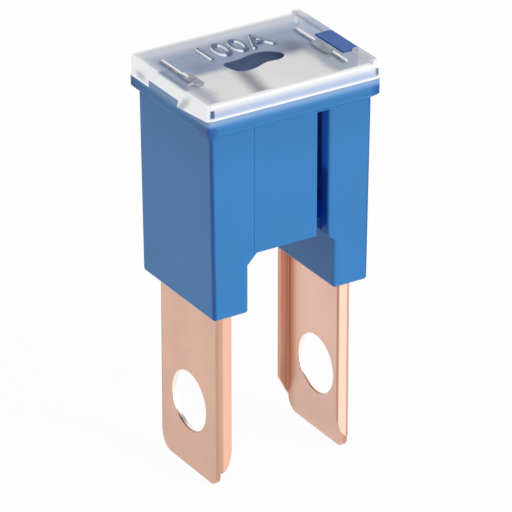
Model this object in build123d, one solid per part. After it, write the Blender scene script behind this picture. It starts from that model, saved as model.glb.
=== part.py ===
"""Bolt-on fusible link: two copper blades, a moulded housing and a fuse strip under a clear cover.

Lengths are in millimetres. The origin lies midway between the two blade tips, +Z is up, the two
blades stand apart along X, and the front of the housing faces -Y.
"""

import os

from build123d import *

# Heights above the blade tips
LEG_END = 20.0
NOTCH_TOP = 26.55
CHAMBER_FLOOR = 27.7
RIM_ROOT = 40.25
RIM_EDGE = 40.85
RIM_END_TOP = 41.95
RIM_TOP = 42.5
COVER_TOP = 44.2

# How far a cut runs past a face, and how far one form of a moulding runs into the next
CUT = 1.0
OVERLAP = 0.2

# Lengths that differ by less than this count as equal
NEAR = 0.001

# Housing
BODY_TOP_WIDTH = 18.9
BODY_BOTTOM_WIDTH = 18.3
BODY_DEPTH = 13.9
BODY_EDGE = 0.35
NOTCH_HALF_WIDTH = 5.06
NOTCH_CHAMFER = 1.0
RIM_WIDTH = 20.2
RIM_DEPTH = 15.2
RIM_CORNER = 0.4
RIM_ROUNDING = 0.25
WALL = 1.3
PANEL_HALF_WIDTH = 4.37
PANEL_RAISE = 0.04
SLOT_WIDTH = 1.42
SLOT_EDGE = 0.35

# Terminals, each folded from one strip of copper
SHEET = 0.5
BLADE_FACE = 7.95
BLADE_WIDTH = 11.7
FLANGE = 1.5
BEND_OUTER = 0.6
BEND_INNER = BEND_OUTER - SHEET
CHANNEL_TOP = 37.5
TIP_WIDTH = 10.6
TIP_FRONT_CORNER = 1.05
TIP_REAR_CORNER = 1.6
FLANGE_END = 1.7
FLANGE_CURVE = 2.6
FLANGE_SLANT = 2.0
BOLT_HOLE = 6.6
BOLT_HEIGHT = 7.6
NECK_WIDTH = 5.8
SEAT_TOP = 41.3
SEAT_INNER_END = 4.9

# Clearance of the blades in the pockets of the legs
POCKET_GAP = 0.1

# Fuse strip and its tin pellet
STRIP_HALF_LENGTH = 7.0
STRIP_HALF_WIDTH = 2.5
STRIP_THICKNESS = 0.35
STRIP_CORNER = 0.5
NECK_NOTCH = 1.6
NECK_HALF_WIDTH = 0.85
PELLET_RADIUS = 0.75
PELLET_HEIGHT = 0.5
PELLET_EDGE = 0.2
SHANK_RADIUS = 0.35
SHANK_GAP = 0.02

# Cover
COVER_GAP = 0.03
COVER_PLATE = 0.7
COVER_SIDE = 0.8
COVER_END = 0.95
COVER_CORNER = 0.55
COVER_INNER_CORNER = 0.3
COVER_EDGE = 0.25
LIP_HALF_LENGTH = 5.5
LIP_THICKNESS = 0.6
LIP_DEPTH = 0.8
SLIT_WIDTH = 0.46
SLIT_X = 9.35
SLIT_BOTTOM = 42.85
SLIT_TOP = 43.7
RIDGE_HEIGHT = 0.3
RIB_HEIGHT = 0.18
RIB_WIDTH = 0.5
LUG_HEIGHT = 0.25
LUG_WIDTH = 1.15
WINDOW_DEPTH = 0.4

# The bars on the cover: width, height, X of the middle, Y of the back end and Y of the front end
COVER_BARS = [
    (RIB_WIDTH, RIB_HEIGHT, -8.4, 4.2, 0.2),
    (LUG_WIDTH, LUG_HEIGHT, -8.2, 0.3, -3.2),
    (RIB_WIDTH, RIB_HEIGHT, 7.15, 3.65, -5.75),
    (LUG_WIDTH, LUG_HEIGHT, 6.95, 0.0, -3.4),
]

# Latch tabs: a low hook at the left end, under the cover's end wall, and a tall one at the right
HOOK_TOP = 42.7
HOOK_FRONT = -1.9
HOOK_BACK = 3.75
HOOK_SLANT = 0.4
CATCH_TOP = 44.3
CATCH_INNER = 8.15
CATCH_FRONT = -3.6
CATCH_BACK = 1.6
LATCH_GAP = 0.06


def block(x_range, y_range, z_range):
    """A box between two X, two Y and two Z values."""
    (x0, x1), (y0, y1), (z0, z1) = x_range, y_range, z_range
    middle = Pos((x0 + x1) / 2, (y0 + y1) / 2, (z0 + z1) / 2)
    return middle * Box(x1 - x0, y1 - y0, z1 - z0)


def rounded_block(width, depth, corner, bottom, top):
    """An upright block with rounded vertical corners, centred on Z."""
    return Pos(0, 0, bottom) * extrude(RectangleRounded(width, depth, corner), top - bottom)


def edges_at_height(shape, height):
    """The edges that lie wholly at one height."""
    return shape.edges().filter_by_position(Axis.Z, height - NEAR, height + NEAR)


def half_turn(shape):
    """The same shape turned half round the vertical axis."""
    return Rot(0, 0, 180) * shape


def housing_body():
    """The drafted body with its two legs, drawn as one front outline."""
    top, bottom = BODY_TOP_WIDTH / 2, BODY_BOTTOM_WIDTH / 2
    inner, slope = NOTCH_HALF_WIDTH, NOTCH_HALF_WIDTH - NOTCH_CHAMFER
    shoulder = NOTCH_TOP - NOTCH_CHAMFER
    right_side = [
        (slope, NOTCH_TOP),
        (inner, shoulder),
        (inner, LEG_END),
        (bottom, LEG_END),
        (top, RIM_ROOT),
        (top, RIM_EDGE),
    ]
    left_side = [(-x, z) for x, z in reversed(right_side)]
    outline = Polyline(*right_side, *left_side, close=True)
    body = extrude(Plane.XZ * make_face(outline), BODY_DEPTH / 2, both=True)

    corners = body.edges().filter_by(
        lambda edge: abs(edge.center().Y) > BODY_DEPTH / 2 - NEAR
        and abs(edge.center().X) > inner - NEAR
        and edge.center().Z > LEG_END + NEAR
    )
    return fillet(corners + edges_at_height(body, LEG_END), BODY_EDGE)


def middle_panel():
    """The flat panel that stands a hair proud of the front, up to the rim."""
    front = -BODY_DEPTH / 2
    return block(
        (-PANEL_HALF_WIDTH, PANEL_HALF_WIDTH),
        (front - PANEL_RAISE, front + OVERLAP),
        (NOTCH_TOP, RIM_EDGE),
    )


def key_slot():
    """The slot through the front wall, open below into the notch, with one rounded front edge."""
    front = -BODY_DEPTH / 2 - PANEL_RAISE
    right = PANEL_HALF_WIDTH
    bottom, top = NOTCH_TOP - NOTCH_CHAMFER, RIM_ROOT
    slot = block((right - SLOT_WIDTH, right), (front - CUT, front + WALL + OVERLAP), (bottom, top))
    edge = block((right - OVERLAP, right + SLOT_EDGE), (front - CUT, front + SLOT_EDGE), (bottom, top))
    rounding = Cylinder(SLOT_EDGE, top - bottom)
    edge -= Pos(right + SLOT_EDGE, front + SLOT_EDGE, (bottom + top) / 2) * rounding
    return slot + edge


def over_rim_ends(gap=0.0):
    """The space above both ends of the rim, level behind and rising to the front corners."""
    front, back = -RIM_DEPTH / 2, RIM_DEPTH / 2 + CUT
    low, high = RIM_END_TOP + gap, RIM_TOP + gap
    top = COVER_TOP + CUT
    slope = [(back, low), (HOOK_FRONT, low), (front, high), (front - CUT, high)]
    outline = make_face(Polyline(*slope, (front - CUT, top), (back, top), close=True))
    left = Pos(-RIM_WIDTH / 2 - CUT, 0, 0) * extrude(Plane.YZ * outline, CUT + COVER_END - gap)
    return left + mirror(left, about=Plane.YZ)


def rim():
    """The collar that carries the cover, with a sloping underside and lower ends."""
    root = Pos(0, 0, RIM_ROOT) * RectangleRounded(
        BODY_TOP_WIDTH - OVERLAP, BODY_DEPTH - OVERLAP, BODY_EDGE
    )
    edge = Pos(0, 0, RIM_EDGE) * RectangleRounded(RIM_WIDTH, RIM_DEPTH, RIM_CORNER)
    collar = loft([root, edge], ruled=True)
    collar += rounded_block(RIM_WIDTH, RIM_DEPTH, RIM_CORNER, RIM_EDGE, RIM_TOP)
    return fillet(edges_at_height(collar, RIM_EDGE), RIM_ROUNDING) - over_rim_ends()


def blade_pocket():
    """The pocket that runs through the right leg and holds one terminal."""
    half_depth = BLADE_WIDTH / 2 + POCKET_GAP
    return block(
        (BLADE_FACE - FLANGE - POCKET_GAP, BLADE_FACE + POCKET_GAP),
        (-half_depth, half_depth),
        (LEG_END - CUT, RIM_TOP + CUT),
    )


def fuse_chamber():
    """The room between the two pockets, closed at the bottom by the notch's roof."""
    half_width = BLADE_FACE - FLANGE
    half_depth = BODY_DEPTH / 2 - WALL
    return block((-half_width, half_width), (-half_depth, half_depth), (CHAMBER_FLOOR, RIM_TOP + CUT))


def hook_outline(grow=0.0):
    """The hook's side view, whose front edge leans out towards its top."""
    low = RIM_END_TOP - OVERLAP
    points = [
        (HOOK_FRONT + HOOK_SLANT - grow, low),
        (HOOK_BACK + grow, low),
        (HOOK_BACK + grow, HOOK_TOP + grow),
        (HOOK_FRONT - grow, HOOK_TOP + grow),
    ]
    return Plane.YZ * make_face(Polyline(*points, close=True))


def hook(grow=0.0, reach=0.0):
    """The low tab at the left end of the rim."""
    outer = RIM_WIDTH / 2 + reach
    return Pos(-outer, 0, 0) * extrude(hook_outline(grow), COVER_END + reach)


def catch(grow=0.0, reach=0.0):
    """The tall tab at the right end of the rim."""
    return block(
        (CATCH_INNER - grow, RIM_WIDTH / 2 + reach),
        (CATCH_FRONT - grow, CATCH_BACK + grow),
        (RIM_END_TOP - OVERLAP, CATCH_TOP + reach),
    )


def make_housing():
    solid = housing_body() + middle_panel() + half_turn(middle_panel()) + rim()
    solid += hook() + catch()
    solid -= fuse_chamber()
    solid -= blade_pocket() + half_turn(blade_pocket())
    solid -= key_slot() + half_turn(key_slot())
    return solid


def flange_ends():
    """What is cut from the lower ends of the flanges: a curve in front and a slant at the back."""
    free_edge = BLADE_FACE - FLANGE
    curve_width = FLANGE - SHEET / 2
    curve_top = FLANGE_END + FLANGE_CURVE
    curve = Rectangle(curve_width, FLANGE_CURVE, align=(Align.MIN, Align.MAX))
    curve = Pos(free_edge, curve_top) * curve
    curve -= Pos(free_edge + curve_width, curve_top) * Ellipse(curve_width, FLANGE_CURVE)
    slant = Polyline(
        (free_edge, FLANGE_END),
        (BLADE_FACE - SHEET, FLANGE_END),
        (free_edge, FLANGE_END + FLANGE_SLANT),
        close=True,
    )
    inside = BLADE_WIDTH / 2 - SHEET
    front_cut = Pos(0, -inside, 0) * extrude(Plane.XZ * curve, SHEET + CUT)
    rear_cut = Pos(0, inside, 0) * extrude(Plane.XZ * make_face(slant), -SHEET - CUT)
    return front_cut + rear_cut


def blade_tip():
    """The flat end of the blade below its flanges."""
    front, rear = -TIP_WIDTH / 2, TIP_WIDTH / 2
    points = [(front, FLANGE_END), (front, 0), (rear, 0), (rear, FLANGE_END)]
    edge = FilletPolyline(*points, radius=(TIP_FRONT_CORNER, TIP_REAR_CORNER))
    tip = make_face(edge + Line(points[0], points[-1]))
    return Pos(BLADE_FACE - SHEET, 0, 0) * extrude(Plane.YZ * tip, SHEET)


def make_terminal():
    """The right terminal: a channel-shaped blade, its neck and the folded seat for the strip."""
    inner_face = BLADE_FACE - SHEET
    free_edge = BLADE_FACE - FLANGE
    outer = Pos((free_edge + BLADE_FACE) / 2, 0) * Rectangle(FLANGE, BLADE_WIDTH)
    outer = fillet(outer.vertices().group_by(Axis.X)[-1], BEND_OUTER)
    hollow = Pos((free_edge + inner_face) / 2, 0) * Rectangle(FLANGE - SHEET, BLADE_WIDTH - 2 * SHEET)
    hollow = fillet(hollow.vertices().group_by(Axis.X)[-1], BEND_INNER)
    blade = Pos(0, 0, FLANGE_END) * extrude(outer - hollow, CHANNEL_TOP - FLANGE_END)
    blade = blade - flange_ends() + blade_tip()
    hole = Rot(0, 90, 0) * Cylinder(BOLT_HOLE / 2, SHEET + 2 * CUT)
    blade -= Pos(inner_face + SHEET / 2, 0, BOLT_HEIGHT) * hole

    fold = Polyline(
        (inner_face, CHANNEL_TOP - SHEET),
        (inner_face, SEAT_TOP - SHEET),
        (SEAT_INNER_END, SEAT_TOP - SHEET),
        (SEAT_INNER_END, SEAT_TOP),
        (BLADE_FACE, SEAT_TOP),
        (BLADE_FACE, CHANNEL_TOP - SHEET),
        close=True,
    )
    fold = make_face(fold)
    fold = fillet(fold.vertices().sort_by_distance((inner_face, SEAT_TOP - SHEET))[0], BEND_INNER)
    fold = fillet(fold.vertices().sort_by_distance((BLADE_FACE, SEAT_TOP))[0], BEND_OUTER)
    return blade + extrude(Plane.XZ * fold, NECK_WIDTH / 2, both=True)


def make_strip():
    """The fuse strip: two lobes and the narrow neck that melts."""
    outline = RectangleRounded(2 * STRIP_HALF_LENGTH, 2 * STRIP_HALF_WIDTH, STRIP_CORNER)
    notch_length = STRIP_HALF_WIDTH - NECK_HALF_WIDTH + NECK_NOTCH / 2
    notch = SlotOverall(2 * notch_length, NECK_NOTCH, rotation=90)
    for side in (-1, 1):
        outline -= Pos(0, side * (STRIP_HALF_WIDTH + NECK_NOTCH / 2)) * notch
    outline -= Circle(SHANK_RADIUS + SHANK_GAP)
    return Pos(0, 0, SEAT_TOP) * extrude(outline, STRIP_THICKNESS)


def make_pellet():
    """The tin pellet, clinched through the neck with a head on each side."""
    strip_top = SEAT_TOP + STRIP_THICKNESS
    head = Pos(0, 0, strip_top) * extrude(Circle(PELLET_RADIUS), PELLET_HEIGHT)
    head = fillet(edges_at_height(head, strip_top + PELLET_HEIGHT), PELLET_EDGE)
    foot_height = PELLET_HEIGHT / 2
    foot = Pos(0, 0, SEAT_TOP - foot_height) * extrude(Circle(PELLET_RADIUS), foot_height)
    shank = Pos(0, 0, SEAT_TOP) * extrude(Circle(SHANK_RADIUS), STRIP_THICKNESS)
    return head + foot + shank


def window_outline():
    """The sight window: a long opening with one full and one slimmer lobe."""
    points = [
        (-3.45, -0.95),
        (-3.25, 0.55),
        (-1.85, 0.65),
        (0.35, 1.15),
        (2.05, 0.75),
        (2.95, -0.75),
        (2.25, -1.45),
        (0.55, -1.45),
        (-1.25, -2.1),
        (-2.95, -1.95),
    ]
    return make_face(Spline(*points, periodic=True))


def cover_slits():
    """Four slits in the long sides, beside the corners."""
    outer = RIM_DEPTH / 2
    one = block(
        (SLIT_X, SLIT_X + SLIT_WIDTH),
        (-outer - CUT, -outer + COVER_SIDE),
        (SLIT_BOTTOM, SLIT_TOP),
    )
    front = one + mirror(one, about=Plane.YZ)
    return front + half_turn(front)


def cover_bar(width, height, middle, back, front):
    """One bar with round ends, raised on the cover's plate."""
    bar = extrude(SlotOverall(back - front, width, rotation=90), height + OVERLAP)
    return Pos(middle, (back + front) / 2, COVER_TOP - OVERLAP) * bar


def cover_ridge():
    """The low ridge along the right end of the plate."""
    top = COVER_TOP + RIDGE_HEIGHT
    ridge = rounded_block(RIM_WIDTH, RIM_DEPTH, COVER_CORNER, COVER_TOP - COVER_EDGE, top)
    outer = RIM_WIDTH / 2
    ridge &= block((outer - COVER_END, outer), (-RIM_DEPTH, RIM_DEPTH), (COVER_TOP - CUT, top))
    return fillet(edges_at_height(ridge, top), COVER_EDGE)


def make_cover():
    plate_bottom = COVER_TOP - COVER_PLATE
    bottom = RIM_END_TOP + COVER_GAP
    shell = rounded_block(RIM_WIDTH, RIM_DEPTH, COVER_CORNER, bottom, COVER_TOP)
    shell = fillet(edges_at_height(shell, COVER_TOP), COVER_EDGE)
    reach = RIM_WIDTH / 2 - COVER_END + COVER_GAP
    between_ends = block((-reach, reach), (-RIM_DEPTH, RIM_DEPTH), (RIM_TOP + COVER_GAP, COVER_TOP))
    shell &= over_rim_ends(COVER_GAP) + between_ends
    room_width, room_depth = RIM_WIDTH - 2 * COVER_END, RIM_DEPTH - 2 * COVER_SIDE
    shell -= rounded_block(room_width, room_depth, COVER_INNER_CORNER, bottom - CUT, plate_bottom)
    shell += cover_ridge()

    lip_outer = BODY_DEPTH / 2 - WALL - COVER_GAP
    lip = block(
        (-LIP_HALF_LENGTH, LIP_HALF_LENGTH),
        (-lip_outer, -lip_outer + LIP_THICKNESS),
        (RIM_TOP - LIP_DEPTH, plate_bottom + OVERLAP),
    )
    shell += lip + half_turn(lip)
    for bar in COVER_BARS:
        shell += cover_bar(*bar)

    shell -= Pos(0, 0, COVER_TOP - WINDOW_DEPTH) * extrude(window_outline(), WINDOW_DEPTH + CUT)
    shell -= cover_slits()
    shell -= hook(LATCH_GAP, CUT)
    shell -= catch(LATCH_GAP, CUT)
    return shell


right_terminal = make_terminal()
pieces = {
    "housing": make_housing(),
    "cover": make_cover(),
    "terminal_left": mirror(right_terminal, about=Plane.YZ),
    "terminal_right": right_terminal,
    "fuse_strip": make_strip(),
    "tin_pellet": make_pellet(),
}

os.makedirs("parts", exist_ok=True)
for name, piece in pieces.items():
    piece.label = name
    export_step(piece, f"parts/{name}.step")
    print(name, len(piece.solids()), round(piece.volume, 2))
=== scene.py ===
"""Finishes a bolt-on fusible link: moulded housing, clear cover, copper blades and fuse strip.

Everything is in metres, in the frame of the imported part: the blade tips stand on Z = 0, X runs
across the two blades and the front of the housing faces -Y. Inside the materials, places are in
millimetres of the same frame.
"""

import math

import bmesh
import bpy
from bpy.props import FloatProperty, FloatVectorProperty, PointerProperty, StringProperty
from mathutils import Matrix, Vector


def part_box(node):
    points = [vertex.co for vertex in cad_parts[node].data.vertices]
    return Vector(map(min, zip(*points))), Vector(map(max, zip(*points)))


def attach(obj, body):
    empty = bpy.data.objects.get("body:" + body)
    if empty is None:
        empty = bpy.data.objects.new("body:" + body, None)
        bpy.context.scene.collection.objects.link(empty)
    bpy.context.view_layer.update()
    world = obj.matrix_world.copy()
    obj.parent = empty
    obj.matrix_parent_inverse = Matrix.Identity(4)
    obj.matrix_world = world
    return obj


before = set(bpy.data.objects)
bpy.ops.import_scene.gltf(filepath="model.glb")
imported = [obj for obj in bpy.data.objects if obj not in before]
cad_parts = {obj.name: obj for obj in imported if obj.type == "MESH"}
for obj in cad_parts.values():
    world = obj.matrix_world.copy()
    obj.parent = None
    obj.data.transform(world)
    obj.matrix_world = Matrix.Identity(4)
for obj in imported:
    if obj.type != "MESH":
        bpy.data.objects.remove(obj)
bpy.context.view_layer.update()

bl_info = {
    "name": "Fusible Link Finishes",
    "version": (1, 0, 0),
    "blender": (4, 5, 0),
    "location": "3D View > Sidebar > Fusible Link",
    "description": "Dresses a packed fusible link in moulded plastic, clear plastic and copper",
    "category": "Object",
}

MM = 0.001

# Lengths in millimetres that the boxes of the housing, the cover and the blades do not give
LEG_END = 20.0
LEG_TAPER = 0.3
HOUSING_BODY_DEPTH = 13.9
RIM_ROOT = 40.25
RIM_EDGE = 40.85
PANEL_HALF_WIDTH = 4.37
CATCH_TOP = 44.3
SKIRT_FOOT = 42.53
RIDGE_HEIGHT = 0.3
RIDGE_FOOT = 9.15
LEFT_RIB = -8.4
RIGHT_RIB = 7.15
SHEET = 0.5
BEND = 0.6
FLANGE = 1.5
BOLT_HEIGHT = 7.6
BOLT_RADIUS = 3.3

# Painted marks, most of them painted light and shade, in millimetres. A FADE runs from where a mark
# starts to where it is full. A SPAN is its low and high end and how softly both fade. A SPOT is a
# middle and its reach, in X and Y.
# A REACH is how far a mark goes from its middle.

# Painted light and shade on the housing, and a painted glow inside it
CORNER_FADE = (0.4, 0.2)
RIM_FADE = (RIM_EDGE + 0.55, RIM_EDGE + 1.15)
RIM_BAND_SPAN = (RIM_ROOT, RIM_EDGE, 0.1)
RIM_EDGE_FADE = (0, -0.2)
RIM_CORNER_END_FADE = (1.4, 0.4)
RIM_CORNER_SIDE_FADE = (3.4, 0.6)
RIM_CORNER_SPAN = (RIM_ROOT, RIM_EDGE + 0.8, 0.4)
BELOW_RIM_FADE = (RIM_ROOT - 5.5, RIM_ROOT - 0.5)
UNDER_COVER_FADE = (SKIRT_FOOT - 0.75, SKIRT_FOOT - 0.2)
PANEL_EDGE_REACH = 0.06
PANEL_FRONT_FADE = (0, -0.01)
CATCH_FADE = (CATCH_TOP - 0.3, CATCH_TOP - 0.1)
# A painted glow lights the chamber's dark inside; the foot of the front slot gets painted shade
CHAMBER_END_FADE = (7.2, 6.6)
CHAMBER_SIDE_FADE = (6.9, 6.5)
CHAMBER_SPAN = (LEG_END + 6.5, RIM_ROOT, 0.3)
SLOT_FADE = (4.6, 4.3)
SLOT_FOOT_SPAN = (LEG_END + 6.4, LEG_END + 13, 1.0)
CHAMBER_GLOW = (0.0, 0.003, 0.08, 1.0)

# Painted light and shade on the blades
RIGHT_BLADE_FADE = (-1, 1)
INNER_FADE = (SHEET - 0.15, SHEET - 0.05)
CHANNEL_FADE = (SHEET + 0.1, SHEET + 0.3)
FOLD_FADE = (SHEET + 0.2, SHEET)
FOLD_REAR_FADE = (3.6, 5.4)
BEND_FADE = (0.68, 0.55)
BEND_LIGHT_FADE = (0.5, 0.0)
FREE_EDGE_FADE = (FLANGE - 0.06, FLANGE - 0.02)
FLANGE_FADE = (BEND - 0.15, BEND)
FLANGE_FACE_FADE = (0.2, 0.1)
HOLE_FADE = (BOLT_RADIUS + 0.05, BOLT_RADIUS + 0.01)
HOLE_FOOT_FADE = (-1.0, -2.6)
HOLE_OUTER_RIM_FADE = (0.24, 0.1)
HOLE_INNER_RIM_FADE = (SHEET - 0.24, SHEET - 0.1)
TIP_FADE = (14, 0)

# Marks on the cover, most of them painted highlights, painted light and painted shade; DRIFT is how
# far the clouds push the soft ones about
DRIFT = 1.6
COVER_CORNER_FADE = (0.7, 0.3)
WALL_FADE = (0.3, 0.15)
SIDE_BORDER_FADE = (0.75, 0.45)
LEFT_BORDER_FADE = (-9.2, -10.0)
LEFT_MARGIN_FADE = (-8.7, -9.8)
LEFT_SHADE_FADE = (-8.8, -9.7)
LEFT_SHADE_SPAN = (-2.9, 1.9, 0.7)
RIDGE_FOOT_REACH = 0.16
RIDGE_REAR_FADE = (6.5, 6.9)
RIDGE_FRONT_FADE = (-3.4, -3.8)
RIB_SPAN = (0, 0.3, 0.06)
LEFT_RIB_FADE = (-1.0, -0.6)
RIGHT_RIB_GAP_SPAN = (-3.1, 0.2, 0.1)
BARS_FADE = (RIDGE_FOOT - 0.1, RIDGE_FOOT - 0.2)
FRONT_FADE = (0.0, -1.3)
REAR_FADE = (4.4, 6.2)
PATCHES_SPAN = (-7.4, 4.4, 1.4)
GAP_PLACE = -2.4
GAP_SLANT = 0.17
GAP_REACH = 1.7
SHADE_SPOT = ((4.6, 2.4), (0.3, 2.6))
VIOLET_SPOT = ((-5.8, 2.6), (1.0, 2.2))
SKIRT_END_FADE = (0.1, 0.3)
VEIL_SPOT = ((5.3, 1.6), (SKIRT_FOOT + 0.1, 0.7))
SLANTED_VEIL = (39.8, 1.0)
FOOT_LINE = (SKIRT_FOOT + 0.1, 0.36)

# Noise levels between which a clouded colour goes from its darkest to its lightest
CLOUD_FADE = (0.3, 0.7)
MOTTLE_FADE = (0.35, 0.65)

# Raised figures: type size that gives a height of 1, how much their width is squeezed, their
# rounding and their middle in millimetres, and how far left a face looks where its painted
# highlight starts
TYPE_SIZE = 1.37
FIGURE_WIDTH = 0.95
FIGURE_ROUNDING = 0.03
FIGURES_AT = (-0.6, 1.85)
LEFT_FACING_FADE = (0.2, 0.6)

# Key lamp and camera, in metres
KEY_PLACE = (0.22, -0.5, 0.3)
KEY_SIZE = 0.25
CLIP_START = 0.01

# Floor in metres, and how much of it the camera sees as plain white
FLOOR_SIZE = 4.0
FLOOR_GAP = 0.0002
FLOOR_GLOW = 0.96
PAPER_TONES = (0.88, 0.92)


# Node maths


class Value:
    """One output of a shader node, usable in sums."""

    def __init__(self, nodes, socket):
        self.nodes = nodes
        self.socket = socket

    def math(self, operation, *others):
        inputs = {0: self, **dict(enumerate(others, 1))}
        return self.nodes.node("ShaderNodeMath", {"operation": operation}, inputs)

    def __add__(self, other):
        return self.math("ADD", other)

    def __sub__(self, other):
        return self.math("SUBTRACT", other)

    def __mul__(self, other):
        return self.math("MULTIPLY", other)

    def __rsub__(self, other):
        return self * -1 + other

    __radd__ = __add__
    __rmul__ = __mul__

    def step(self, low, high):
        """0 below low, 1 above high and smooth between them; low may be the larger one."""
        if low > high:
            return 1 - self.step(high, low)
        settings = {"interpolation_type": "SMOOTHSTEP"}
        return self.nodes.node("ShaderNodeMapRange", settings, {"Value": self, 1: low, 2: high})

    def between(self, low, high, soft):
        """1 from low to high, fading out over a soft stretch on each side."""
        return self.step(low - soft, low) * self.step(high + soft, high)

    def near(self, centre, reach):
        """1 at the centre, fading out smoothly to 0 at reach from it."""
        return (self - centre).size().step(reach, 0)

    def either(self, other):
        """The larger of two values."""
        return self.math("MAXIMUM", other)

    def size(self):
        """The value without its sign."""
        return self.math("ABSOLUTE")


class Nodes:
    """The nodes of one material or world."""

    def __init__(self, owner, output):
        owner.use_nodes = True
        self.owner = owner
        self.tree = owner.node_tree
        self.tree.nodes.clear()
        self.output = self.tree.nodes.new(output)

    def node(self, kind, settings=None, inputs=None, output=0):
        """Adds a node, sets its settings first and then its sockets, and returns one output."""
        made = self.tree.nodes.new(kind)
        for key, value in (settings or {}).items():
            setattr(made, key, value)
        for key, value in (inputs or {}).items():
            if isinstance(value, Value):
                self.tree.links.new(value.socket, made.inputs[key])
            else:
                made.inputs[key].default_value = value
        return Value(self, made.outputs[output])

    def in_view(self):
        """1 for what the camera sees, straight, in gloss or through clear plastic; 0 for light."""
        path = self.node("ShaderNodeLightPath").socket.node.outputs
        names = ("Is Camera Ray", "Is Glossy Ray", "Is Transmission Ray")
        camera, glossy, through = [Value(self, path[name]) for name in names]
        return camera.either(glossy).either(through)

    def ends_in(self, shader):
        """Ends the nodes in this shader and returns the material or world."""
        self.tree.links.new(shader.socket, self.output.inputs["Surface"])
        return self.owner


class Finish(Nodes):
    """A procedural material under construction."""

    def __init__(self, name):
        super().__init__(bpy.data.materials.new(name), "ShaderNodeOutputMaterial")

    def place(self):
        """X, Y and Z of the shaded point in millimetres."""
        point = self.node("ShaderNodeTexCoord", output="Object")
        parts = self.node("ShaderNodeSeparateXYZ", inputs={0: point})
        return [Value(self, output) * (1 / MM) for output in parts.socket.node.outputs]

    def noise(self, scale, detail=2.0, stretch=(1, 1, 1)):
        """Noise with about scale features in a millimetre, around 0.5."""
        point = self.node("ShaderNodeTexCoord", output="Object")
        scales = [scale * part / MM for part in stretch]
        point = self.node("ShaderNodeMapping", inputs={"Vector": point, "Scale": scales})
        inputs = {"Vector": point, "Scale": 1.0, "Detail": detail}
        return self.node("ShaderNodeTexNoise", inputs=inputs)

    def blend(self, amount, first, second):
        """Colour between first and second."""
        inputs = {"Factor": amount, 6: first, 7: second}
        return self.node("ShaderNodeMix", {"data_type": "RGBA"}, inputs, output=2)

    def clouded(self, clouds, colour, low, high):
        """A colour that the clouds vary between low and high times its lightness."""
        return self.blend(clouds, opaque(colour, low), opaque(colour, high))

    def paint(self, colour, *layers):
        """Lays colours over a first one; a layer is a mask, a colour and how much of it shows."""
        for mask, over, amount in layers:
            colour = self.blend(mask if amount == 1 else mask * amount, colour, over)
        return colour

    def bump(self, height, distance):
        """Relief of this height, where distance is the height of 1 in metres."""
        return self.node("ShaderNodeBump", inputs={"Height": height, "Distance": distance})

    def surface(self, **sockets):
        """Ends the material in one Principled shader with these sockets, underscores for spaces."""
        inputs = {name.replace("_", " "): value for name, value in sockets.items()}
        return self.ends_in(self.node("ShaderNodeBsdfPrincipled", inputs=inputs))


def opaque(colour, factor=1.0):
    """An opaque colour, lighter or darker by a factor."""
    return (*[min(channel * factor, 1.0) for channel in colour[:3]], 1.0)


def grey(level):
    """An opaque neutral colour."""
    return (level, level, level, 1.0)


def add_piece(name, data):
    """Puts a mesh, a lamp or a camera into the scene as an object at the origin."""
    piece = bpy.data.objects.new(name, data)
    bpy.context.scene.collection.objects.link(piece)
    return piece


def give(piece, material):
    """Makes a material the only one of a piece."""
    piece.data.materials.clear()
    piece.data.materials.append(material)


# Settings


class HousingSettings(bpy.types.PropertyGroup):
    """The blue moulded housing."""

    colour: FloatVectorProperty(
        name="Colour", description="Colour of the housing's plastic",
        subtype="COLOR", size=3, min=0, max=1, default=(0.016, 0.19, 0.5),
    )
    # Painted light: the rim is the housing's own plastic, drawn paler as if lit
    rim_painted_light: FloatVectorProperty(
        name="Rim colour", description="Colour of the rim below the cover",
        subtype="COLOR", size=3, min=0, max=1, default=(0.09, 0.28, 0.58),
    )
    # Painted light: a paler band on the rim just below the cover
    rim_light: FloatVectorProperty(
        name="Rim light", description="Paler colour of the rim just below the cover",
        subtype="COLOR", size=3, min=0, max=1, default=(0.22, 0.37, 0.63),
    )
    # Painted shade: the catch's top drawn darker than the housing's plastic
    catch_shade: FloatVectorProperty(
        name="Catch colour", description="Colour of the catch's top",
        subtype="COLOR", size=3, min=0, max=1, default=(0.0, 0.08, 0.36),
    )
    # Painted shade: deeper blue along the upright corners, under the rim's corners and in the
    # slot's foot
    corner_shade: FloatVectorProperty(
        name="Corner colour", description="Deeper colour along the upright corners",
        subtype="COLOR", size=3, min=0, max=1, default=(0.0, 0.075, 0.32),
    )
    roughness: FloatProperty(
        name="Roughness", description="How matt the moulded faces are",
        subtype="FACTOR", min=0, max=1, default=0.42,
    )


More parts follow.
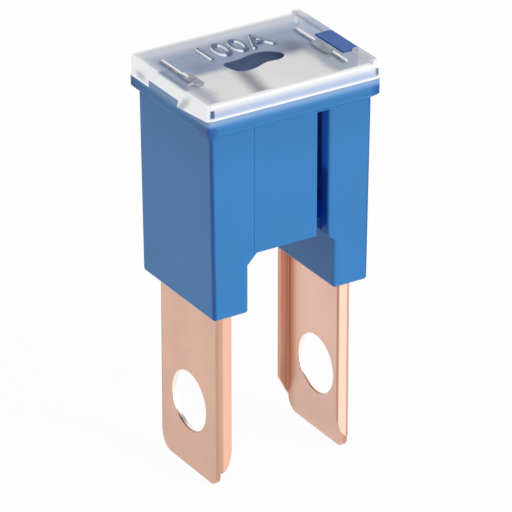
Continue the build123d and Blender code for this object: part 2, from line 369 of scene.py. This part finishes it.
class CoverSettings(bpy.types.PropertyGroup):
    """The clear clip-on cover."""

    colour: FloatVectorProperty(
        name="Tint", description="Colour of the cover's haze near its edges",
        subtype="COLOR", size=3, min=0, max=1, default=(0.74, 0.76, 0.88),
    )
    # Painted light: the lit fuse strip as seen through the plate, painted onto it
    painted_strip_light: FloatVectorProperty(
        name="Front tint", description="Haze over the fuse strip, in front",
        subtype="COLOR", size=3, min=0, max=1, default=(0.98, 0.98, 0.97),
    )
    rear_colour: FloatVectorProperty(
        name="Rear tint", description="Haze over the rear of the chamber",
        subtype="COLOR", size=3, min=0, max=1, default=(0.41, 0.5, 0.68),
    )
    side_colour: FloatVectorProperty(
        name="Side tint", description="Haze beside the fuse strip",
        subtype="COLOR", size=3, min=0, max=1, default=(0.54, 0.58, 0.7),
    )
    figure_colour: FloatVectorProperty(
        name="Figure tint", description="Colour of the raised figures",
        subtype="COLOR", size=3, min=0, max=1, default=(0.045, 0.09, 0.24),
    )
    # Painted shade: a dark band across the front and a dark spot right of the figures
    shade_colour: FloatVectorProperty(
        name="Shade", description="Darker clouds in the haze",
        subtype="COLOR", size=3, min=0, max=1, default=(0.2, 0.21, 0.28),
    )
    violet_colour: FloatVectorProperty(
        name="Violet tint", description="Violet cloud beside the figures",
        subtype="COLOR", size=3, min=0, max=1, default=(0.25, 0.23, 0.42),
    )
    # Painted shade: a dark blue band at the plate's left margin
    left_shade_colour: FloatVectorProperty(
        name="Left tint", description="Blue haze at the plate's left margin",
        subtype="COLOR", size=3, min=0, max=1, default=(0.13, 0.24, 0.38),
    )
    skirt_colour: FloatVectorProperty(
        name="Skirt tint", description="Colour of the cover's sides",
        subtype="COLOR", size=3, min=0, max=1, default=(0.5, 0.6, 0.83),
    )
    # Painted shade: the raised lugs and ribs drawn grey
    lug_shade: FloatVectorProperty(
        name="Lug tint", description="Colour of the thick lugs beside the ribs",
        subtype="COLOR", size=3, min=0, max=1, default=(0.4, 0.43, 0.46),
    )
    plate_haze: FloatProperty(
        name="Plate haze", description="How milky the cover's plate is",
        subtype="FACTOR", min=0, max=1, default=0.7,
    )
    skirt_haze: FloatProperty(
        name="Skirt haze", description="How milky the cover's sides are",
        subtype="FACTOR", min=0, max=1, default=0.88,
    )
    # Painted light: a glow on the cover's ends and the figures' left sides, which are no lamps
    edge_glow: FloatProperty(
        name="Edge glow", description="Light that the plastic carries to its ends",
        subtype="FACTOR", min=0, max=1, default=0.3,
    )


class CopperSettings(bpy.types.PropertyGroup):
    """The two folded copper blades."""

    colour: FloatVectorProperty(
        name="Colour", description="Colour of the bare copper",
        subtype="COLOR", size=3, min=0, max=1, default=(0.74, 0.475, 0.363),
    )
    # Painted light: the copper inside the channel drawn lighter
    inner_painted_light: FloatVectorProperty(
        name="Inner colour", description="Colour inside the channel",
        subtype="COLOR", size=3, min=0, max=1, default=(0.86, 0.57, 0.465),
    )
    # Painted shade where the bends begin, on the free edges and in the folds
    bend_shade: FloatVectorProperty(
        name="Bend colour", description="Darker colour where the bends begin",
        subtype="COLOR", size=3, min=0, max=1, default=(0.6, 0.32, 0.22),
    )
    # Painted highlight on the right blade's flanges
    right_flange_highlight: FloatVectorProperty(
        name="Right flange colour", description="Brighter colour of the right blade's flanges",
        subtype="COLOR", size=3, min=0, max=1, default=(0.97, 0.72, 0.57),
    )
    # Painted light: the flanges inside the channel drawn lighter
    channel_painted_light: FloatVectorProperty(
        name="Channel colour", description="Colour of the flanges inside the channel",
        subtype="COLOR", size=3, min=0, max=1, default=(0.83, 0.53, 0.41),
    )
    # Painted highlight on the bolt hole's wall
    hole_highlight: FloatVectorProperty(
        name="Hole colour", description="Bright colour of the bolt hole's wall",
        subtype="COLOR", size=3, min=0, max=1, default=(1.0, 0.92, 0.86),
    )
    # Painted highlight on the left blade's flanges
    flange_highlight: FloatVectorProperty(
        name="Flange colour", description="Bright colour of the left blade's flanges",
        subtype="COLOR", size=3, min=0, max=1, default=(0.93, 0.545, 0.41),
    )
    roughness: FloatProperty(
        name="Roughness", description="How matt the rolled copper is",
        subtype="FACTOR", min=0, max=1, default=0.42,
    )


class StripSettings(bpy.types.PropertyGroup):
    """The plated fuse strip and its tin pellet."""

    colour: FloatVectorProperty(
        name="Colour", description="Colour of the plating",
        subtype="COLOR", size=3, min=0, max=1, default=(0.72, 0.7, 0.65),
    )


class RatingSettings(bpy.types.PropertyGroup):
    """The raised current rating on the cover."""

    text: StringProperty(name="Rating", description="Current rating in amperes", default="100A")
    height: FloatProperty(
        name="Height", description="Height of the figures", subtype="DISTANCE", unit="LENGTH",
        min=0.001, max=0.005, default=3.0 * MM,
    )
    relief: FloatProperty(
        name="Relief", description="How far the figures stand out", subtype="DISTANCE",
        unit="LENGTH", min=0.00005, max=0.0005, default=0.2 * MM,
    )


class StudioSettings(bpy.types.PropertyGroup):
    """Camera, lamps and floor."""

    azimuth: FloatProperty(
        name="Azimuth", description="How far the camera stands to the left of the front",
        subtype="ANGLE", unit="ROTATION", default=math.radians(31.95),
    )
    elevation: FloatProperty(
        name="Elevation", description="How far the camera looks down", subtype="ANGLE",
        unit="ROTATION", default=math.radians(26.78),
    )
    distance: FloatProperty(
        name="Distance", description="From the camera to the point it looks at",
        subtype="DISTANCE", unit="LENGTH", default=476.5 * MM,
    )
    aim: FloatVectorProperty(
        name="Aim", description="Point that the camera looks at", subtype="TRANSLATION",
        unit="LENGTH", default=(0.09 * MM, -0.06 * MM, 22.09 * MM),
    )
    focal_length: FloatProperty(
        name="Focal length", description="Focal length in millimetres on a 36 mm sensor",
        default=329.15,
    )
    ambient: FloatProperty(
        name="Ambient", description="Strength of the light from all round", min=0, default=0.55,
    )
    key: FloatProperty(
        name="Key lamp", description="Power of the lamp in front", subtype="POWER",
        min=0, default=2.0,
    )


class LinkSettings(bpy.types.PropertyGroup):
    """All settings of the fusible link."""

    housing: PointerProperty(type=HousingSettings)
    cover: PointerProperty(type=CoverSettings)
    copper: PointerProperty(type=CopperSettings)
    strip: PointerProperty(type=StripSettings)
    rating: PointerProperty(type=RatingSettings)
    studio: PointerProperty(type=StudioSettings)


# Materials


def housing_plastic(settings):
    """Satin moulded plastic with a fine grain and faint flow marks, with painted shade in its
    corners, below the rim, on the catch and in the slot, painted light on the rim and edges, and a
    painted glow in the chamber.
    """
    finish = Finish("housing_plastic")
    x, y, z = finish.place()
    clouds = finish.noise(0.12, detail=3, stretch=(1, 1, 0.4))
    grain = finish.noise(9.0, detail=2)
    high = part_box("housing")[1]
    half_width, half_depth = high.x / MM, high.y / MM
    overhang = half_depth - HOUSING_BODY_DEPTH / 2
    lean = (LEG_TAPER / (RIM_ROOT - LEG_END)) * (RIM_ROOT - z)
    from_end = half_width - overhang - lean - x.size()
    from_front = half_depth - overhang - y.size()
    from_rim_end, from_rim_side = half_width - x.size(), half_depth - y.size()

    # Painted shade along the upright corners and under the rim's corners
    corner = from_end.step(*CORNER_FADE) * from_front.step(*CORNER_FADE)
    corner = corner * z.step(RIM_ROOT, RIM_ROOT - 0.2)
    on_rim = z.step(*RIM_FADE)
    rim_band = z.between(*RIM_BAND_SPAN)
    rim_edge = rim_band * from_end.step(*RIM_EDGE_FADE)
    rim_corner = from_rim_end.step(*RIM_CORNER_END_FADE) * from_rim_side.step(*RIM_CORNER_SIDE_FADE)
    rim_corner = rim_corner * z.between(*RIM_CORNER_SPAN)
    # Painted shade on the body just below the rim
    below_rim = z.step(*BELOW_RIM_FADE) * (1 - on_rim)
    # Painted highlight along the panel's edge and the rim's front root
    panel_edge = x.size().near(PANEL_HALF_WIDTH, PANEL_EDGE_REACH)
    panel_edge = panel_edge * from_front.step(*PANEL_FRONT_FADE) * z.step(RIM_ROOT, RIM_ROOT - 0.1)
    front_edge = panel_edge.either(rim_band * from_front.step(*RIM_EDGE_FADE))
    behind_front = y.size().step(*CHAMBER_SIDE_FADE)
    # Painted light: a glow inside the chamber, which is no lamp
    chamber = behind_front * z.between(*CHAMBER_SPAN) * x.size().step(*CHAMBER_END_FADE)
    # Painted shade in the foot of the front slot
    slot_foot = behind_front * z.between(*SLOT_FOOT_SPAN) * x.size().step(*SLOT_FADE)

    colour = finish.paint(
        finish.clouded(clouds.step(*CLOUD_FADE), settings.colour, 0.95, 1.04),
        # Painted light: the rim paler than the body
        (on_rim, opaque(settings.rim_painted_light), 0.75),
        # Painted light: a paler band just below the cover
        (z.step(*UNDER_COVER_FADE), opaque(settings.rim_light), 1),
        # Painted shade below the rim
        (below_rim, opaque(settings.colour, 0.8), 0.55),
        # Painted highlight along the rim's lower edge at both ends
        (rim_edge, opaque(settings.rim_painted_light), 0.6),
        # Painted highlight on the panel's edge and the rim's front root
        (front_edge, opaque(settings.colour, 1.3), 1),
        # Painted shade under the rim's corners
        (rim_corner, opaque(settings.corner_shade), 0.85),
        # Painted shade on the catch's top
        (z.step(*CATCH_FADE), opaque(settings.catch_shade), 1),
        # Painted shade along the upright corners
        (corner, opaque(settings.corner_shade), 1),
        # Painted shade in the foot of the front slot
        (slot_foot, opaque(settings.corner_shade, 0.15), 0.8),
    )
    return finish.surface(
        Base_Color=colour,
        Roughness=grain * 0.12 + (settings.roughness - 0.06),
        Normal=finish.bump(grain + clouds * 2, 0.004 * MM),
        # Painted light: the chamber glows
        Emission_Color=finish.blend(chamber, grey(0.0), CHAMBER_GLOW),
        Emission_Strength=1.0,
    )


def rolled_copper(settings):
    """Bare copper with fine rolling lines along the blade, with painted light and shade on its
    faces, bends, flanges and bolt hole.
    """
    finish = Finish("rolled_copper")
    x, y, z = finish.place()
    lines = finish.noise(6.0, detail=3, stretch=(1, 1, 0.04))
    clouds = finish.noise(0.25, detail=3)
    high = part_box("terminal_right")[1]
    from_web, from_side = high.x / MM - x.size(), high.y / MM - y.size()
    right = x.step(*RIGHT_BLADE_FADE)

    inner = from_web.step(*INNER_FADE) * from_side.step(*INNER_FADE)
    channel = inner * from_web.step(*CHANNEL_FADE)
    fold = inner * y.step(*FOLD_REAR_FADE) * from_web.step(*FOLD_FADE)
    free_edge = from_web.step(*FREE_EDGE_FADE)
    bend = from_side.step(*BEND_FADE) * (1 - from_side.step(*BEND_LIGHT_FADE) * 0.6)
    bend = (bend.either(free_edge) * (1 - channel)).either(fold)
    flange = from_web.step(*FLANGE_FADE) * from_side.step(*FLANGE_FACE_FADE) * (1 - free_edge)
    from_bolt = z - BOLT_HEIGHT
    hole = (y * y + from_bolt * from_bolt).math("SQRT").step(*HOLE_FADE)
    left_rim = from_web.step(*HOLE_OUTER_RIM_FADE) * (1 - right)
    right_rim = from_web.step(*HOLE_INNER_RIM_FADE) * right
    hole_foot = hole * (from_bolt.step(*HOLE_FOOT_FADE) * left_rim.either(right_rim))
    # Painted highlights on the flanges, brighter on the right blade
    flanges = opaque(settings.flange_highlight), opaque(settings.right_flange_highlight)

    colour = finish.paint(
        finish.clouded(clouds.step(*CLOUD_FADE), settings.colour, 0.95, 1.05),
        # Painted light inside the channel
        (inner, opaque(settings.inner_painted_light), 1),
        # Painted light on the flanges inside the channel
        (channel, opaque(settings.channel_painted_light), 1),
        # Painted shade: darker towards the blade tips
        (z.step(*TIP_FADE), opaque(settings.colour, 0.8), 0.4),
        # Painted shade at the bends, the free edges and the folds
        (bend, opaque(settings.bend_shade), 0.9),
        # Painted highlights on the flanges
        (flange, finish.blend(right, *flanges), 1),
        # Painted highlight on the bolt hole's wall
        (hole, opaque(settings.hole_highlight), 1),
        # Painted shade at the low edge of the bolt hole's wall
        (hole_foot, opaque(settings.bend_shade, 0.5), 1),
    )
    return finish.surface(
        Base_Color=colour,
        Metallic=1.0,
        Roughness=lines * 0.16 + clouds * 0.1 + (settings.roughness - 0.13),
        Normal=finish.bump(lines, 0.002 * MM),
    )


def plated_metal(name, colour, metallic):
    """Dull plated metal with a fine grain."""
    finish = Finish(name)
    grain = finish.noise(5.0, detail=3)
    return finish.surface(
        Base_Color=finish.clouded(grain.step(*CLOUD_FADE), colour, 0.93, 1.05),
        Metallic=metallic,
        Roughness=grain * 0.2 + 0.4,
        Normal=finish.bump(grain, 0.004 * MM),
    )


def clear_plastic(settings):
    """Clear plastic: milky over the plate, clear in the sunken window, with painted highlights on
    its edges, ribs and ends, painted shade and the painted light of the fuse strip beneath.
    """
    finish = Finish("clear_plastic")
    x, y, z = finish.place()
    clouds = finish.noise(0.35, detail=2)
    drift = (clouds - 0.5) * DRIFT
    grain = finish.noise(4.0, detail=2)
    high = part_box("cover")[1]
    plate = high.z / MM - RIDGE_HEIGHT
    from_end, from_side = high.x / MM - x.size(), high.y / MM - y.size()

    # Walls, plate, ribs and ridge
    corner = from_end.step(*COVER_CORNER_FADE) * from_side.step(*COVER_CORNER_FADE)
    end_wall, side_wall = from_end.step(*WALL_FADE), from_side.step(*WALL_FADE).either(corner)
    on_plate = z.step(plate - 0.12, plate - 0.04)
    bars = x.step(*BARS_FADE) * z.step(plate + 0.05, plate + 0.1)
    left_rib = (x - LEFT_RIB).between(*RIB_SPAN) * y.step(*LEFT_RIB_FADE)
    right_rib = (x - RIGHT_RIB).between(*RIB_SPAN) * (1 - y.between(*RIGHT_RIB_GAP_SPAN))
    crest = left_rib.either(right_rib) * bars
    ridge_ends = y.step(*RIDGE_REAR_FADE).either(y.step(*RIDGE_FRONT_FADE))
    ridge_foot = x.near(RIDGE_FOOT, RIDGE_FOOT_REACH) * ridge_ends

    # Haze of the plate, with painted shade and the painted light of the fuse strip beneath, pushed
    # about by the clouds
    pushed_x, pushed_y = x + drift, y + drift
    front = pushed_y.step(*FRONT_FADE)
    rear = y.step(*REAR_FADE)
    patches = front * pushed_x.between(*PATCHES_SPAN)
    # Painted shade over the strip's neck and in a spot right of the figures
    gap = (x - y * GAP_SLANT - GAP_PLACE + drift * 0.3).near(0, GAP_REACH) * front
    shade_spot = pushed_x.near(*SHADE_SPOT[0]) * pushed_y.near(*SHADE_SPOT[1])
    violet = pushed_x.near(*VIOLET_SPOT[0]) * pushed_y.near(*VIOLET_SPOT[1])
    left_shade = x.step(*LEFT_SHADE_FADE) * (y + drift * 0.4).between(*LEFT_SHADE_SPAN)
    left_border = x.step(*LEFT_BORDER_FADE) * (1 - left_shade) * 0.8
    border = from_side.step(*SIDE_BORDER_FADE).either(left_border)
    plate_colour = finish.paint(
        opaque(settings.rear_colour),
        (front, opaque(settings.side_colour), 1),
        # Painted light of the fuse strip beneath
        (patches, opaque(settings.painted_strip_light), 1),
        # Painted shade
        (gap.either(shade_spot), opaque(settings.shade_colour), 0.85),
        (violet, opaque(settings.violet_colour), 0.45),
        (rear.either(x.step(*LEFT_MARGIN_FADE)), opaque(settings.colour), 1),
        # Painted shade at the plate's left margin
        (left_shade, opaque(settings.left_shade_colour), 0.8),
    )

    # Skirt
    low = z.step(plate - 0.15, SKIRT_FOOT + 0.6) * from_end.step(*SKIRT_END_FADE)
    veil = y.near(*VEIL_SPOT[0]) * z.near(*VEIL_SPOT[1])
    slanted = (y + z - SLANTED_VEIL[0]).near(0, SLANTED_VEIL[1]) * z.step(plate, SKIRT_FOOT + 0.4)
    veils = veil.either(slanted) * end_wall
    foot_line = z.near(*FOOT_LINE) * side_wall
    skirt_colour = finish.paint(
        # Painted light: the skirt near white at its top and ends
        grey(0.95),
        (low, opaque(settings.skirt_colour), 1),
        (veils, opaque(settings.side_colour), 0.8),
    )

    # Painted highlights: white along the plate's borders, the ridge's foot, the skirt's foot and
    # the rib crests
    white = (border.either(ridge_foot) * on_plate).either(foot_line).either(crest)
    mottle = finish.noise(1.1, detail=2).step(*MOTTLE_FADE)
    colour = finish.paint(
        skirt_colour,
        (on_plate, plate_colour, 1),
        # Painted shade on the raised lugs and ribs
        (bars, finish.clouded(mottle, settings.lug_shade, 0.75, 1.25), 1),
        # Painted highlights
        (white, grey(1.0), 1),
    )
    haze = clouds * 0.1 + (settings.plate_haze - 0.05) + patches.either(rear) * 0.12
    haze = (on_plate * haze).either(end_wall.either(side_wall) * settings.skirt_haze).either(0.06)
    haze = haze.either(white * 0.95).either(bars * 0.68)
    # Painted light: the cover's ends glow
    glow = finish.blend(end_wall * (1 - veils * 0.7), grey(0.0), grey(settings.edge_glow))
    return finish.surface(
        Base_Color=colour,
        Roughness=grain * 0.1 + 0.15,
        Alpha=haze,
        Emission_Color=glow,
        Emission_Strength=1.0,
    )


def figure_plastic(settings):
    """The clear plastic of the raised figures, dark on top, with a painted highlight and painted
    glow on their left-facing sides.
    """
    finish = Finish("figure_plastic")
    facing = finish.node("ShaderNodeNewGeometry", output="Normal")
    facing = finish.node("ShaderNodeSeparateXYZ", inputs={0: facing})
    left = (facing * -1).step(*LEFT_FACING_FADE)
    grain = finish.noise(4.0, detail=2)
    return finish.surface(
        # Painted highlight on the left-facing sides
        Base_Color=finish.blend(left, opaque(settings.figure_colour), grey(1.0)),
        Roughness=grain * 0.1 + 0.15,
        Alpha=(grain * 0.1 + 0.6).either(left * 0.95),
        Emission_Color=finish.blend(left, grey(0.0), grey(settings.edge_glow)),
        Emission_Strength=1.0,
    )


# Pieces


def raised_text(name, settings):
    """The rating as one closed mesh that stands on the cover's plate."""
    curve = bpy.data.curves.new(name, "FONT")
    curve.body = settings.text
    curve.size = settings.height * TYPE_SIZE
    curve.extrude = settings.relief / 2
    curve.bevel_depth = FIGURE_ROUNDING * MM
    curve.bevel_resolution = 1
    curve.offset = FIGURE_ROUNDING * MM
    curve.align_x = "CENTER"
    shape = bpy.data.objects.new(name + "_curve", curve)
    bpy.context.scene.collection.objects.link(shape)
    bpy.context.view_layer.update()
    evaluated = shape.evaluated_get(bpy.context.evaluated_depsgraph_get())
    mesh = bpy.data.meshes.new_from_object(evaluated)
    bpy.data.objects.remove(shape)
    mesh.name = name
    return add_piece(name, mesh)


class FUSIBLE_OT_housing(bpy.types.Operator):
    """Gives the housing its blue moulded plastic"""

    bl_idname = "fusible_link.housing"
    bl_label = "Housing"

    def execute(self, context):
        give(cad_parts["housing"], housing_plastic(context.scene.fusible_link.housing))
        return {"FINISHED"}


class FUSIBLE_OT_cover(bpy.types.Operator):
    """Gives the cover its clear plastic"""

    bl_idname = "fusible_link.cover"
    bl_label = "Cover"

    def execute(self, context):
        give(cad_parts["cover"], clear_plastic(context.scene.fusible_link.cover))
        return {"FINISHED"}


class FUSIBLE_OT_terminals(bpy.types.Operator):
    """Gives both blades their bare copper"""

    bl_idname = "fusible_link.terminals"
    bl_label = "Terminals"

    def execute(self, context):
        copper = rolled_copper(context.scene.fusible_link.copper)
        for side in ("left", "right"):
            give(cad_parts[f"terminal_{side}"], copper)
        return {"FINISHED"}


class FUSIBLE_OT_strip(bpy.types.Operator):
    """Gives the fuse strip and its pellet their plating"""

    bl_idname = "fusible_link.strip"
    bl_label = "Fuse strip"

    def execute(self, context):
        colour = context.scene.fusible_link.strip.colour
        give(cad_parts["fuse_strip"], plated_metal("plated_strip", colour, 0.3))
        give(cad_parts["tin_pellet"], plated_metal("tin", opaque(colour, 0.8), 0.8))
        return {"FINISHED"}


class FUSIBLE_OT_rating(bpy.types.Operator):
    """Raises the current rating on the cover"""

    bl_idname = "fusible_link.rating"
    bl_label = "Rating"

    def execute(self, context):
        settings = context.scene.fusible_link.rating
        piece = raised_text("rating_figures", settings)
        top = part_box("cover")[1].z - RIDGE_HEIGHT * MM
        x, y = [length * MM for length in FIGURES_AT]
        piece.data.transform(Matrix.Diagonal((FIGURE_WIDTH, 1.0, 1.0, 1.0)))
        piece.data.transform(Matrix.Translation((x, y, top + settings.relief / 2)))
        give(piece, figure_plastic(context.scene.fusible_link.cover))
        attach(piece, "root")
        return {"FINISHED"}


def lamp(name, place, target, size, power):
    """A square soft lamp that looks at a point."""
    data = bpy.data.lights.new(name, "AREA")
    data.size = size
    data.energy = power
    made = add_piece(name, data)
    made.location = place
    made.rotation_euler = (Vector(target) - Vector(place)).to_track_quat("-Z", "Y").to_euler()


def studio_world(ambient):
    """Light from all round; the camera, gloss and clear plastic see plain white."""
    nodes = Nodes(bpy.data.worlds.new("studio"), "ShaderNodeOutputWorld")
    inputs = {"Color": grey(1.0), "Strength": nodes.in_view() * (1 - ambient) + ambient}
    return nodes.ends_in(nodes.node("ShaderNodeBackground", inputs=inputs))


def studio_floor():
    """A large sheet of white paper just below the blade tips."""
    bm = bmesh.new()
    bmesh.ops.create_grid(bm, x_segments=1, y_segments=1, size=FLOOR_SIZE / 2)
    bmesh.ops.translate(bm, verts=bm.verts, vec=(0, 0, -FLOOR_GAP))
    mesh = bpy.data.meshes.new("floor")
    bm.to_mesh(mesh)
    bm.free()
    floor = add_piece("floor", mesh)
    finish = Finish("floor_paper")
    dark, light = [grey(tone) for tone in PAPER_TONES]
    tone = finish.blend(finish.noise(0.2), dark, light)
    paper = finish.node("ShaderNodeBsdfDiffuse", inputs={"Color": tone})
    glow = finish.node("ShaderNodeEmission", inputs={"Color": grey(1.0), "Strength": 1.0})
    inputs = {0: finish.in_view() * FLOOR_GLOW, 1: paper, 2: glow}
    mixed = finish.node("ShaderNodeMixShader", inputs=inputs)
    give(floor, finish.ends_in(mixed))


class FUSIBLE_OT_studio(bpy.types.Operator):
    """Sets up the world light, the floor, the soft lamp and the camera"""

    bl_idname = "fusible_link.studio"
    bl_label = "Studio"

    def execute(self, context):
        settings = context.scene.fusible_link.studio
        scene = context.scene
        scene.view_settings.view_transform = "Standard"
        scene.world = studio_world(settings.ambient)
        studio_floor()

        centre = Vector(settings.aim)
        lamp("key_lamp", KEY_PLACE, centre, KEY_SIZE, settings.key)

        data = bpy.data.cameras.new("camera")
        data.lens = settings.focal_length
        data.clip_start = CLIP_START
        camera = add_piece("camera", data)
        flat = math.cos(settings.elevation)
        towards = Vector((
            -flat * math.sin(settings.azimuth),
            -flat * math.cos(settings.azimuth),
            math.sin(settings.elevation),
        ))
        camera.location = centre + settings.distance * towards
        camera.rotation_euler = (centre - camera.location).to_track_quat("-Z", "Y").to_euler()
        scene.camera = camera
        return {"FINISHED"}


OPERATORS = (
    FUSIBLE_OT_housing,
    FUSIBLE_OT_cover,
    FUSIBLE_OT_terminals,
    FUSIBLE_OT_strip,
    FUSIBLE_OT_rating,
    FUSIBLE_OT_studio,
)


class FUSIBLE_PT_panel(bpy.types.Panel):
    """Lists the steps that dress the fusible link"""

    bl_idname = "FUSIBLE_PT_panel"
    bl_label = "Fusible Link"
    bl_space_type = "VIEW_3D"
    bl_region_type = "UI"
    bl_category = "Fusible Link"

    def draw(self, context):
        for operator in OPERATORS:
            self.layout.operator(operator.bl_idname)


CLASSES = (
    HousingSettings,
    CoverSettings,
    CopperSettings,
    StripSettings,
    RatingSettings,
    StudioSettings,
    LinkSettings,
    *OPERATORS,
    FUSIBLE_PT_panel,
)


def register():
    for each in CLASSES:
        bpy.utils.register_class(each)
    bpy.types.Scene.fusible_link = PointerProperty(type=LinkSettings)


def unregister():
    del bpy.types.Scene.fusible_link
    for each in reversed(CLASSES):
        bpy.utils.unregister_class(each)


def main():
    register()
    for operator in OPERATORS:
        group, name = operator.bl_idname.split(".")
        getattr(getattr(bpy.ops, group), name)()


if __name__ == "__main__":
    main()
